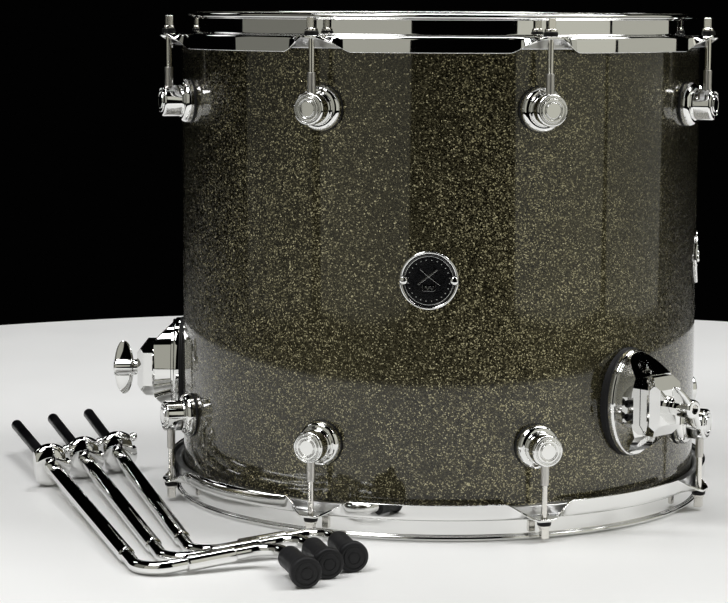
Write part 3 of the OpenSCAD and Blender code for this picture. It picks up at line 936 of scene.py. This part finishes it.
def bracket_base():
    """The fixed half: dish, its side of the oval body with a window, and the fixed jaw."""
    r = OVAL_END
    dish = oval(turned([
        (0, DISH_SEAT + 0.02), (r + 1.5, DISH_SEAT + 0.02, 0.3), (r + 1.6, 5.6, 0.8), (r + 1.5, 7.8, 0.9),
        (r + 0.2, 8.6, 0.5), (r, SEAM, 0.2), (0, SEAM),
    ], 192, steps=4))
    whole = oval_body(SEAM - 0.1)
    roof = bracket_roof(SEAM - 0.1)
    side = shaped(whole, overlap=[roof, box(0, 60, -60, SLOT_SIDE, -50, 50)])
    fills = [
        shaped(whole, overlap=[roof, box(0, 60, SLOT_SIDE - 1, SLOT_END, low, low + 20)])
        for low in (ROOF_FILL, -ROOF_FILL - 20)
    ]
    jaw = box(SEAM - 0.1, LEG_OFFSET - GAP, SLOT_SIDE + GAP, SLOT_END, -JAW, JAW)
    window = box(WINDOW_SEAT, 60, WINDOW_FLOOR - 20, WINDOW_FLOOR, -13, 9)
    stud_hole = rod_x(STUD_R + 0.05, 5, 30)
    cuts = [leg_channel(), window, stud_hole] + [rod_x(3, 0, 9).moved(m) for m in bolt_places()]
    base = shaped(dish, adders=[side, jaw] + fills, cutters=cuts, bevel=0.35)
    set_screw = shaped(
        turned([(0, -0.5), (3.2, -0.5), (3.2, 2.9, 0.5), (0, 2.9)], 48, steps=3),
        cutters=[lathe([(0, 1.2), (1.7, 1.2), (1.7, 5), (0, 5)], 6)],
    )
    outwards = spin(-90, "Z")
    spots = [shift(WINDOW_SEAT + 4.5, WINDOW_FLOOR, z) @ outwards for z in (-7.6, 3.6)]
    return base + everywhere(set_screw, spots).painted(1)


def bolt_places():
    """Where the bolts from inside the shell enter a bracket."""
    return [shift(0, BODY_MID + side, up) for side, up in ((0, 30), (0, -30), (-16, 0))]


def gate_nose():
    """The faceted block that the wing nut presses on."""
    half = 24.5
    side = 19.5
    start = NOSE_SEAT - GAP
    face = NOSE_FACE
    from_side = [(start, -half), (34.4, -half), (face, -14.7), (face, 14.7), (34.4, half), (start, half)]
    tall = side_prism(from_side, side)
    from_front = [(-side, -15), (-12, -half), (12, -half), (side, -15)]
    from_front += [(-y, -z) for y, z in from_front]
    octagon = skin([[Vector((x, y, z)) for y, z in from_front] for x in (20, 60)])
    from_above = [(start, -side), (36, -side), (face, -13), (face, 13), (36, side), (start, side)]
    level = prism(from_above, -half, half)
    return shaped(tall, overlap=[octagon, level]).moved(shift(0, NOSE_SIDE, 0))


def bracket_gate():
    """The moving half: the rest of the oval body, the other jaw and the nose."""
    start = SEAM + 0.4
    body = shaped(oval_body(start), overlap=[bracket_roof(start)])
    boss = rod_x(ROOF - BODY_END - 0.2, BODY_END - 0.1, NOSE_SEAT, 96)
    slot = (SLOT_SIDE - 1, SLOT_END + GAP)
    cuts = [
        box(0, 60, -60, SLOT_SIDE + 0.4, -50, 50), box(-5, LEG_OFFSET + GAP, *slot, -50, 50),
        box(-5, 40, *slot, JAW, JAW + 20), box(-5, 40, *slot, -JAW - 20, -JAW),
    ]
    rough = shaped(body, adders=[boss], cutters=cuts)
    stud_hole = rod_x(STUD_R + 0.4, -5, 70)
    return shaped(rough, adders=[gate_nose()], cutters=[leg_channel(), stud_hole], bevel=0.4)


def pebble(width, span, thick, rings=24, around=64):
    """A flat oval with full, rounded edges, lying in X and Z."""
    rows = []
    for i in range(1, rings):
        tilt = -math.pi / 2 + math.pi * i / rings
        out = math.cos(tilt) ** 0.35
        up = math.copysign(abs(math.sin(tilt)) ** 0.8, tilt)
        row = []
        for j in range(around):
            angle = 2 * math.pi * j / around
            z = span * math.sin(angle) * out
            swell = 1 - 0.35 * (z / span) ** 2
            row.append(Vector((width * math.cos(angle) * out, thick / 2 * up * swell, z)))
        rows.append(row)
    return skin(rows)


def wing_nut():
    """A pressed nut with two oval wings, a barrel and a through hole."""
    base = NOSE_FACE + 0.05
    hub = turned([
        (0, base), (7, base, 0.4), (7, base + 3.4, 0.4), (7.9, base + 5.6, 0.8),
        (7.9, NUT_END - 1.6, 1.0), (6.8, NUT_END - 0.05, 0.6), (0, NUT_END - 0.05),
    ], 96, steps=4)
    wing_start = NOSE_FACE + 3.9
    wings = pebble((NUT_END - wing_start) / 2, 24.4, 5.4).moved(shift((NUT_END + wing_start) / 2, 0, 0))
    return shaped(hub, adders=[wings], cutters=[rod_x(STUD_R + 0.05, 0, 80)], bevel=0.35, angle=40)


def stud():
    """The stud that carries the gate and the wing nut."""
    plain = lathe([(0, 5), (3.6, 5), (3.6, 20), (3.6, 44), (0, 44)], 32)
    return plain + thread(STUD_R, 1.25, 20, 60.9, 0.5, 28).moved(X_TO_Z.inverted())


# ---- legs ----

LEG_LONG = 530
LEG_CROSS = 110.7
LEG_FOOT = 80
LEG_TURN = 95
BEND_R = 22
LEG_R = 5.25
TUBE_R = 6.6
LOCK_X = -360
LOCK_HALF = 9
LOCK_SCREW_SIDE = 16
LOCK_SCREW_UP = 12
GRIP_END = LOCK_X - LOCK_HALF - 2


def leg_place(k):
    """The leg's own axes: +X along its long straight to the elbow's corner, +Y towards its bend."""
    along = -Vector(JOINTS[f"memory_lock_{k}_slide"]["axis"]).normalized()
    side = Vector(JOINTS[f"lock_screw_{k}_turn"]["axis"]).normalized()
    up = along.cross(side)
    turn = Matrix((along, side, up)).transposed().to_4x4()
    screw = mm(JOINTS[f"lock_screw_{k}_turn"]["pos_m"])
    return Matrix.Translation(screw) @ turn @ shift(-LOCK_X, -LOCK_SCREW_SIDE, -LOCK_SCREW_UP)


def leg_route():
    """Places along the leg's centreline: (distance, matrix with +X along the leg)."""
    tangent = BEND_R * math.tan(math.radians(LEG_TURN / 2))
    arc = BEND_R * math.radians(LEG_TURN)
    places = []
    here = shift(-LEG_LONG, 0, 0)
    travelled = 0
    bend_steps = 24

    def straight(length, step):
        nonlocal here, travelled
        count = max(1, round(length / step))
        for _ in range(count):
            here = here @ shift(length / count, 0, 0)
            travelled += length / count
            places.append((travelled, here.copy()))

    def bend(direction):
        nonlocal here, travelled
        turn = math.radians(LEG_TURN) * direction / bend_steps
        centre = shift(0, BEND_R * direction, 0)
        for _ in range(bend_steps):
            here = here @ centre @ Matrix.Rotation(turn, 4, "Z") @ centre.inverted()
            travelled += arc / bend_steps
            places.append((travelled, here.copy()))

    places.append((0, here.copy()))
    straight(LEG_LONG + GRIP_END, 1.0)
    straight(-GRIP_END - tangent, 1.5)
    bend(1)
    straight(LEG_CROSS - 2 * tangent, 0.75)
    bend(-1)
    straight(LEG_FOOT - 6 - tangent, 3)
    return places, tangent, arc


def shoulder(distance, start, end):
    """How full the thick stretch is at a distance: 0 outside, 1 inside, with rounded shoulders."""
    edge = 1.5
    reach = min(distance - start, end - distance)
    if reach <= 0:
        return 0
    if reach >= edge:
        return 1
    return math.sqrt(1 - (1 - reach / edge) ** 2)


def leg():
    """One leg in its own axes. Material 1 is the blackened, knurled end."""
    places, tangent, arc = leg_route()
    long_part = (LEG_LONG + LOCK_X + LOCK_HALF + 3, LEG_LONG - 48)
    cross_start = LEG_LONG - tangent + arc - tangent
    cross_part = (cross_start + 36, cross_start + 76)
    grip = LEG_LONG + GRIP_END
    rings = []
    segments = 64
    for distance, place in places:
        full = max(shoulder(distance, *long_part), shoulder(distance, *cross_part))
        base = LEG_R + (TUBE_R - LEG_R) * full
        if distance < 1.2:
            base -= 1.2 - distance
        ring = []
        for s in range(segments):
            angle = 2 * math.pi * s / segments
            r = base
            if 3 < distance < grip - 1:
                knurl = math.sin(12 * angle + distance * 1.6) * math.sin(12 * angle - distance * 1.6)
                r -= 0.12 + 0.12 * knurl
            ring.append(place @ Vector((0, r * math.cos(angle), r * math.sin(angle))))
        rings.append(ring)
    part = skin(rings)
    grip_faces = sum(1 for distance, _ in places if distance < grip - 0.5) * segments
    part.materials = [1 if i < grip_faces else 0 for i in range(len(part.faces))]
    part.materials[-2] = 1
    return part


def foot():
    """A rubber tip: a ribbed sleeve, a flared disc, and moulded rings on its end."""
    start, end = LEG_FOOT - 48, LEG_FOOT
    outline = rounded([
        (5.3, start, 0.3), (8.2, start, 0.8), (9.2, start + 1.6, 0.6), (9.0, start + 8, 0.5),
        (9.2, start + 26, 2), (9.5, start + 34, 1.5), (10.8, end - 8.6, 0.8), (12.1, end - 7.2, 0.5),
        (12.2, end - 2.6, 0.8),
        (11.6, end - 1.0, 0.6), (9.4, end - 0.4, 0.4), (8.9, end - 0.9, 0.3), (8.1, end - 0.9, 0.3),
        (7.7, end - 0.25, 0.3), (5.2, end - 0.1, 0.3), (4.8, end - 0.6, 0.25), (4.2, end - 0.6, 0.25),
        (3.8, end - 0.05, 0.3), (0, end),
    ], steps=3)
    closed = outline + [Vector((0, start + 40)), Vector((5.3, start + 40))]
    turn = math.radians(LEG_TURN)
    second_corner = shift(LEG_CROSS * math.cos(turn), LEG_CROSS * math.sin(turn), 0)
    return lathe(closed, 96, closed=True).moved(second_corner)


def memory_lock():
    """Two chrome jaws with a slit between them, and the screw's boss, round the leg's axis."""
    bulge = []
    steps = 24
    for i in range(steps + 1):
        tilt = -math.pi / 2 + math.pi * i / steps
        across = 19.4 * math.cos(tilt) ** 0.62
        along = LOCK_HALF * math.copysign(abs(math.sin(tilt)) ** 0.85, tilt)
        bulge.append((0 if i in (0, steps) else across, along))
    disc = lathe(bulge, 128)
    trim = box(-20, 20, -13.5, 17.5, -30, 30)
    cuts = [
        rod_x(LEG_R + 0.05, -20, 20), box(-20, 20, 2.2, 3.8, 2, 42), box(-20, 20, 13.3, 23.3, 2.6, 42),
        rod_x(2.6, -9, 40).moved(shift(0, 0, LOCK_SCREW_UP) @ spin(90, "Z")),
    ]
    jaws = shaped(disc, overlap=[trim], cutters=cuts, bevel=0.6, steps=3)
    return jaws.moved(shift(LOCK_X, 0, 0))


def key_tab():
    """The small key above the lock on the leg's grip."""
    outline = rounded([(-6, -2, 1.2), (6, -2, 1.2), (6, 2, 1.2), (-6, 2, 1.2)], closed=True)
    return slab(outline, 4.4, 6.2, 0.5).moved(shift(LOCK_X - 16, 0, 0))


def lock_screw():
    """The lock's wing screw, along the leg's +Y."""
    shank = standing(rod_x(2.55, -8.5, 15.5, 32))
    hub = standing(turned([
        (0, 13.6), (3.6, 13.6, 0.3), (4, 15, 0.4), (4, 18.6, 0.9), (2.6, 19.5, 0.4), (0, 19.5),
    ], 48, steps=3))
    wings = pebble(8.3, 3.1, 3.4).moved(shift(0, 0, LOCK_SCREW_SIDE) @ spin(90, "X"))
    whole = shaped(hub, adders=[wings]) + shank
    return whole.moved(shift(LOCK_X, 0, LOCK_SCREW_UP) @ spin(-90, "X"))


# ---- putting it together ----

ENDS = [("batter", upside_down(), UPPER_BODY), ("resonant", Matrix.Identity(4), LOWER_BODY)]


def build_drum():
    upper, flat = [place for _, place, _ in ENDS]
    shell()
    head("batter_film", RIM_STAND - 0.25, SHELL_BODY, COATED, "batter_head", upper)
    head("resonant_film", RIM_STAND - 0.55, LOWER_BODY, CLEAR, "resonant_head", flat)
    flesh_hoop("batter_flesh_ring", 20.0, SHELL_BODY, "batter_flesh_hoop", upper)
    flesh_hoop("resonant_flesh_ring", 19.7, LOWER_BODY, "resonant_flesh_hoop", flat)
    ring = hoop()
    for end, place, body in ENDS:
        piece(f"{end}_rim_hoop", ring.moved(place), body, [HOOP_CHROME], [f"{end}_hoop"])


def build_rods():
    axes = [turn_z(a - 90) @ shift(SHELL_R + ROD_OFFSET, 0, 0) for a in LUG_ANGLES]
    rod = tension_rod()
    for k, axis in enumerate(axes, 1):
        for end, place, _ in ENDS:
            node = f"{end}_rod_{k}"
            moved = rod.moved(place @ axis)
            piece(f"{end}_tension_rod_{k}", moved, f"{node}_body", [NICKEL], [node])
    washers = everywhere(washer(), axes)
    for end, place, body in ENDS:
        piece(f"{end}_nylon_washers", washers.moved(place), body, [NYLON], [f"{end}_washers"])


def build_lugs():
    high = [on_shell(a, LUG_HIGH) for a in LUG_ANGLES]
    low = [on_shell(a, LUG_LOW) @ FLIP_Z for a in LUG_ANGLES]
    casting = lug()
    tube = receiver()
    for end, places in (("batter", high), ("resonant", low)):
        lugs = everywhere(casting, places)
        piece(f"{end}_lug_castings", lugs, SHELL_BODY, [CHROME], [f"{end}_lugs"])
        tubes = everywhere(tube, places)
        piece(f"{end}_receiver_tubes", tubes, SHELL_BODY, [SATIN], [f"{end}_receivers"])
    seats = everywhere(lug_gasket(), high + low)
    piece("lug_rubber_seats", seats, SHELL_BODY, [RUBBER], ["lug_gaskets"])
    screws = everywhere(inner_screw(0.2, 9, 5, 3.4), high + low)
    piece("lug_inner_screws", screws, SHELL_BODY, [NICKEL], ["lug_screws"])


def build_badges():
    plate, rim, raised = [wrapped(part) for part in badge()]
    places = [on_shell(a, BADGE_Z) for a in BADGE_ANGLES]
    faces = everywhere(plate, places) + everywhere(raised.painted(1), places)
    piece("badge_faces", faces, SHELL_BODY, [ENAMEL, CHROME], ["badge_plates"])
    piece("badge_edges", everywhere(rim, places), SHELL_BODY, [CHROME], ["badge_rims"])
    turn = math.degrees(math.asin(RIVET_SIDE / SHELL_R))
    spots = [on_shell(a + side * turn, BADGE_Z) for a in BADGE_ANGLES for side in (-1, 1)]
    rivets = everywhere(rivet(), spots)
    piece("badge_domed_rivets", rivets, SHELL_BODY, [CHROME], ["badge_rivets"])
    vent = grommet().moved(on_shell(VENT_ANGLE, BADGE_Z))
    piece("vent_eyelet", vent, SHELL_BODY, [CHROME], ["vent_grommet"])


def build_brackets():
    places = [on_shell(a, BRACKET_Z) for a in BRACKET_ANGLES]
    seats = everywhere(bracket_gasket(), places)
    piece("bracket_rubber_seats", seats, SHELL_BODY, [RUBBER], ["bracket_gaskets"])
    bases = everywhere(bracket_base(), places)
    looks = [CHROME, BLACK_STEEL]
    piece("bracket_castings", bases, SHELL_BODY, looks, ["bracket_bases"])
    studs = everywhere(stud(), places)
    piece("bracket_threaded_studs", studs, SHELL_BODY, [NICKEL], ["bracket_studs"])
    spots = [place @ spot for place in places for spot in bolt_places()]
    bolts = everywhere(inner_screw(3.1, 8, 5.4, 3.8), spots)
    piece("bracket_inner_bolts", bolts, SHELL_BODY, [NICKEL], ["bracket_screws"])
    gate = bracket_gate()
    nut = wing_nut()
    for k, (place, turn) in enumerate(zip(places, NUT_TURNS), 1):
        node = f"bracket_gate_{k}"
        piece(f"gate_casting_{k}", gate.moved(place), f"{node}_body", [CHROME], [node])
        node = f"wing_nut_{k}"
        turned = nut.moved(place @ spin(turn, "X"))
        piece(f"oval_wing_nut_{k}", turned, f"{node}_body", [CHROME], [node])


def build_legs():
    rod = leg() + key_tab().painted(1)
    tip = foot()
    lock = memory_lock()
    screw = lock_screw()
    for k in (1, 2, 3):
        place = leg_place(k)
        body = f"leg_{k}"
        looks = [CHROME, BLACK_STEEL]
        piece(f"bent_leg_{k}", rod.moved(place), body, looks, [f"leg_rod_{k}"])
        piece(f"foot_tip_{k}", tip.moved(place), body, [FOOT_RUBBER], [f"rubber_foot_{k}"])
        node = f"memory_lock_{k}"
        piece(f"lock_jaws_{k}", lock.moved(place), f"{node}_body", [CHROME], [node])
        node = f"lock_screw_{k}"
        piece(f"lock_wing_screw_{k}", screw.moved(place), f"{node}_body", [CHROME], [node])


# ---- stage, lights and camera ----

def table():
    """A round pale table top, a little further back than the drum."""
    recipe = Recipe("pale_table", Base_Color=(0.88, 0.88, 0.87, 1), Specular_IOR_Level=0.25)
    recipe.set("Roughness", recipe.spread(recipe.noise(6.0, 3.0), 0.34, 0.42))
    radius = 1103.5
    disc = turned([(0, -40), (radius - 4, -40, 3), (radius, -36, 3), (radius, 0, 4), (0, 0)], 256)
    top = standing(disc).moved(shift(-1.4, 100.2, 0))
    thing = as_object(top, "table_top")
    thing.data.transform(Matrix.Scale(MM, 4))
    thing.data.materials.append(recipe.material)
    thing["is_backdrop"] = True


def softbox(name, azimuth, elevation, distance, width, height, radiance, tint=(1, 1, 1)):
    """A flat lamp that faces the drum's middle, in metres. Azimuth is from the badge towards +X."""
    lamp = bpy.data.lights.new(name, "AREA")
    lamp.shape = "RECTANGLE"
    lamp.size = width
    lamp.size_y = height
    lamp.energy = radiance * math.pi * width * height
    lamp.color = tint
    thing = bpy.data.objects.new(name, lamp)
    bpy.context.scene.collection.objects.link(thing)
    a, e = math.radians(azimuth), math.radians(elevation)
    middle = Vector((0, 0, HEIGHT / 2 * MM))
    away = Vector((math.sin(a) * math.cos(e), -math.cos(a) * math.cos(e), math.sin(e)))
    thing.location = middle + away * distance
    thing.rotation_euler = away.to_track_quat("Z", "Y").to_euler()
    thing.visible_camera = False


def lights():
    world = bpy.data.worlds.new("dark_studio")
    world.use_nodes = True
    background = world.node_tree.nodes["Background"]
    background.inputs["Color"].default_value = (0.0006, 0.0006, 0.0006, 1)
    bpy.context.scene.world = world
    grey = (1.0, 0.99, 0.86)
    softbox("left_panel_near", -29.5, 14, 3.0, 2.2, 2.4, 0.40, grey)
    softbox("left_panel_far", -70, 14, 3.0, 1.95, 2.4, 0.18, grey)
    softbox("right_panel_near", 54, 14, 3.0, 2.35, 2.4, 0.56, grey)
    softbox("right_panel_far", 94, 14, 3.0, 1.95, 2.4, 0.46, grey)
    softbox("overhead_strip", 0, 86, 2.6, 3.0, 0.28, 13.0)
    softbox("left_lamp", -113, 34, 2.6, 0.5, 0.5, 2.4)
    softbox("centre_lamp", -38, 52, 2.6, 0.9, 0.9, 10.5)
    softbox("right_lamp", 88, 52, 2.6, 0.9, 0.9, 10.5)
    softbox("back_lamp", 180, 62, 2.6, 0.8, 0.5, 14.0)


def camera():
    """The photograph's view: a long lens, a little above the rim, just right of the badge."""
    lens = bpy.data.cameras.new("camera")
    lens.sensor_width = 36
    lens.lens = 117.32
    lens.clip_end = 50
    thing = bpy.data.objects.new("camera", lens)
    bpy.context.scene.collection.objects.link(thing)
    heading = 3.706
    pitch = 7.19
    roll = 0.2415
    turn = spin(heading, "Z") @ spin(90 - pitch, "X") @ spin(roll, "Z")
    thing.matrix_world = shift(0.0702, -2.1165, 0.4332) @ turn
    bpy.context.scene.camera = thing
    bpy.context.scene.view_settings.view_transform = "Standard"


camera()
lights()
table()
build_drum()
build_rods()
build_lugs()
build_badges()
build_brackets()
build_legs()


def plain(value):
    return [plain(v) for v in value] if hasattr(value, "__len__") else float(value)


{"cad": plain(cad_bounds), "visual": plain(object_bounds())}
